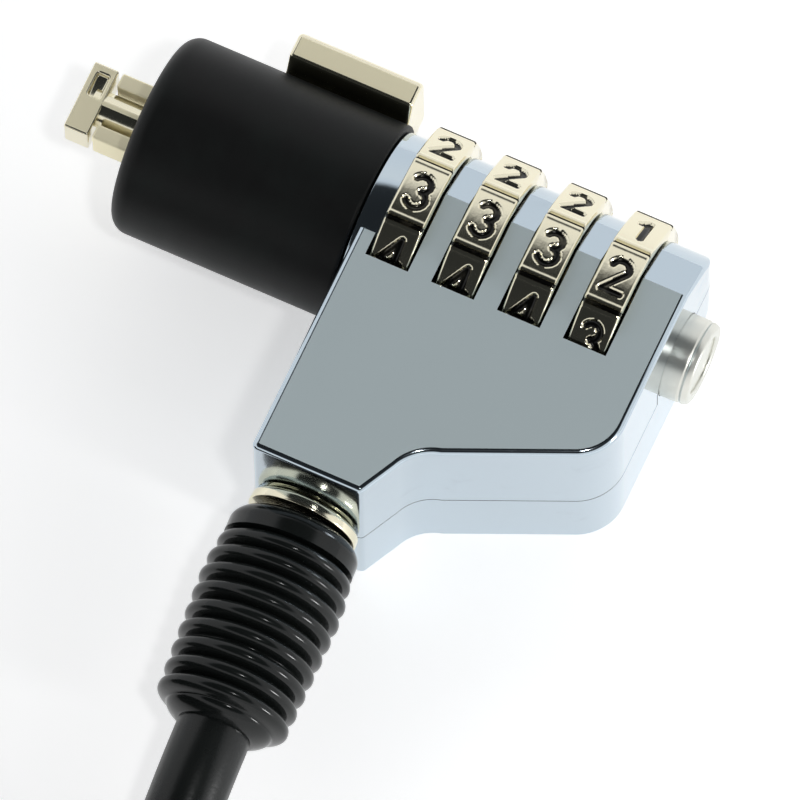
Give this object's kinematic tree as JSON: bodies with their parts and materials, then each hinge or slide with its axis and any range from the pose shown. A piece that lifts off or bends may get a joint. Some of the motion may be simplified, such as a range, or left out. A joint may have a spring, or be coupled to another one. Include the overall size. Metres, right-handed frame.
{
  "type": "laptop cable lock",
  "caption": "Laptop cable lock: flat housing with digit dials, turning barrel with a T-shaped locking head, end button, and a coated steel cable with a ribbed strain relief and an eye.",
  "frame": {"origin": "below the middle of the lock head's box (cable left out), at the housing's back face, which is what it lies on", "axes": "+X along the barrel and dials, away from the locking head and toward the end button; -Y the way the cable leaves; +Z the normal of the flat front face"},
  "size_m": [0.0889, 0.1286, 0.0225],
  "materials": {
    "zinc_chrome": "polished chrome plate on die-cast zinc, faint bluish reflections",
    "nickel": "warm polished nickel plate",
    "steel_inner": "turned bare steel",
    "brass_inner": "turned brass",
    "black_sleeve": "satin black plastic",
    "black_vinyl": "glossy black vinyl",
    "spring_steel": "spring steel wire",
    "tie_fabric": "black hook and loop strap",
    "crimp_metal": "pressed aluminium"
  },
  "bodies": {
    "root": {"front_shell": "zinc_chrome", "back_shell": "zinc_chrome", "shell_screws": "steel_inner", "shell_dowels": "steel_inner", "barrel_core": "zinc_chrome", "nose_guides": "nickel", "axle_tube": "brass_inner", "detent_balls": "steel_inner", "detent_springs": "spring_steel", "ferrule_clip": "spring_steel", "boot": "black_vinyl", "cable_run": "black_vinyl", "cable_coil": "black_vinyl", "coil_tie": "tie_fabric", "cable_eye": "black_vinyl", "eye_crimp": "crimp_metal"},
    "turn_sleeve": {"barrel_sleeve": "black_sleeve", "grip_tab": "nickel", "drive_pin": "steel_inner", "t_bar": "nickel"},
    "dial_1": {"dial_1": "nickel", "code_ring_1": "brass_inner"},
    "dial_2": {"dial_2": "nickel", "code_ring_2": "brass_inner"},
    "dial_3": {"dial_3": "nickel", "code_ring_3": "brass_inner"},
    "dial_4": {"dial_4": "nickel", "code_ring_4": "brass_inner"},
    "button": {"lock_pin": "steel_inner", "end_button": "nickel", "button_spring": "spring_steel"},
    "swivel": {"swivel_ferrule": "nickel", "strand_end": "steel_inner", "stop_crimp": "crimp_metal"}
  },
  "joints": [
    {"name": "lock_turn", "type": "hinge", "parent": "root", "child": "turn_sleeve", "pos_m": [-0.01055, 0.00605, 0.0093], "axis": [1, 0, 0], "range_deg": [0, 90]},
    {"name": "dial_1_spin", "type": "hinge", "parent": "root", "child": "dial_1", "pos_m": [0.0019, 0.00605, 0.0093], "axis": [1, 0, 0], "continuous": true},
    {"name": "dial_2_spin", "type": "hinge", "parent": "root", "child": "dial_2", "pos_m": [0.007, 0.00605, 0.0093], "axis": [1, 0, 0], "continuous": true},
    {"name": "dial_3_spin", "type": "hinge", "parent": "root", "child": "dial_3", "pos_m": [0.0121, 0.00605, 0.0093], "axis": [1, 0, 0], "continuous": true},
    {"name": "dial_4_spin", "type": "hinge", "parent": "root", "child": "dial_4", "pos_m": [0.0172, 0.00605, 0.0093], "axis": [1, 0, 0], "continuous": true},
    {"name": "button_press", "type": "slide", "parent": "root", "child": "button", "axis": [-1, 0, 0], "range_m": [0, 0.0012], "stiffness_N_per_m": 600, "springref_m": -0.0025, "deforming": ["button_spring"]},
    {"name": "cable_swivel", "type": "hinge", "parent": "root", "child": "swivel", "pos_m": [0.0033, -0.01195, 0.0083], "axis": [0, -1, 0], "continuous": true}
  ]
}
